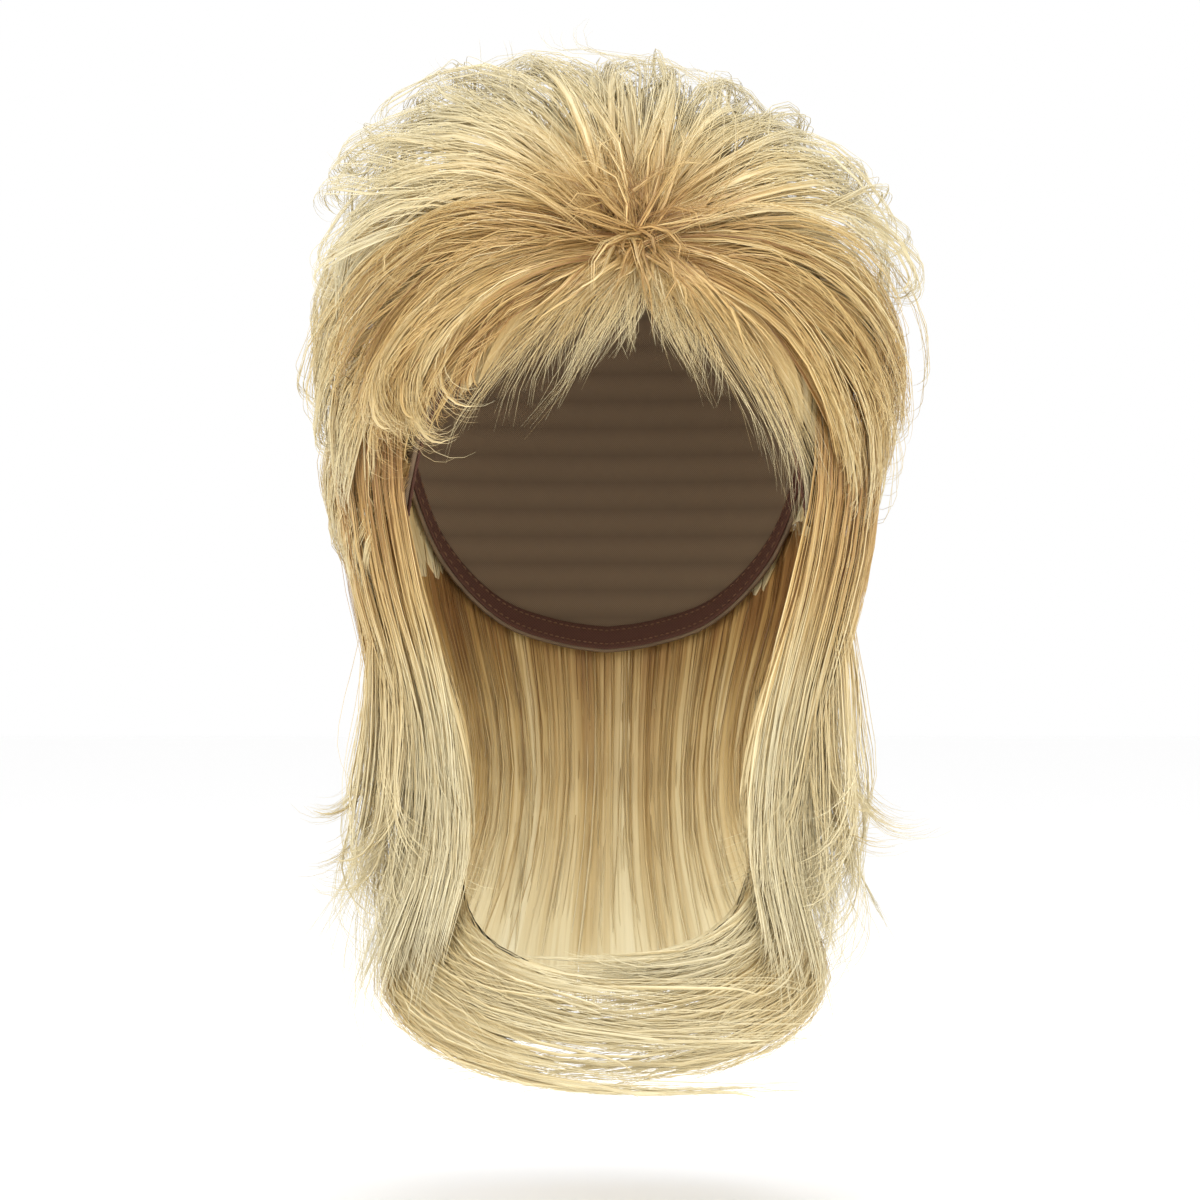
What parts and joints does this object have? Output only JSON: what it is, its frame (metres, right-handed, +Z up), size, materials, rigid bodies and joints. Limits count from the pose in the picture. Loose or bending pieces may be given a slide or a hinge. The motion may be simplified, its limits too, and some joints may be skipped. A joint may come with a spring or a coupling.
{
  "type": "mullet wig",
  "caption": "Blonde mullet wig: short puffed layers spreading from a swirl above a sheer fringe, and long flicked lengths that come round onto the chest.",
  "frame": {"origin": "inside of the cap's crown, where the top of the head sits", "axes": "+Z up, the face looks along -Y, +X towards the wearer's left"},
  "size_m": [0.2182, 0.2291, 0.3645],
  "materials": {
    "hair": "satin",
    "cap_net": "matte",
    "edge_tape": "matte"
  },
  "bodies": {
    "root": {"cap": "cap_net", "edge_band": "edge_tape", "crown_front": "hair", "sweep_left": "hair", "sweep_right": "hair", "fringe_left": "hair", "fringe_right": "hair", "crown_left": "hair", "crown_right": "hair", "crown_back": "hair", "side_left": "hair", "side_right": "hair", "back_upper": "hair", "nape_layer": "hair", "tail_left": "hair", "tail_right": "hair", "chest_left": "hair", "chest_right": "hair", "back_length": "hair"}
  },
  "joints": []
}
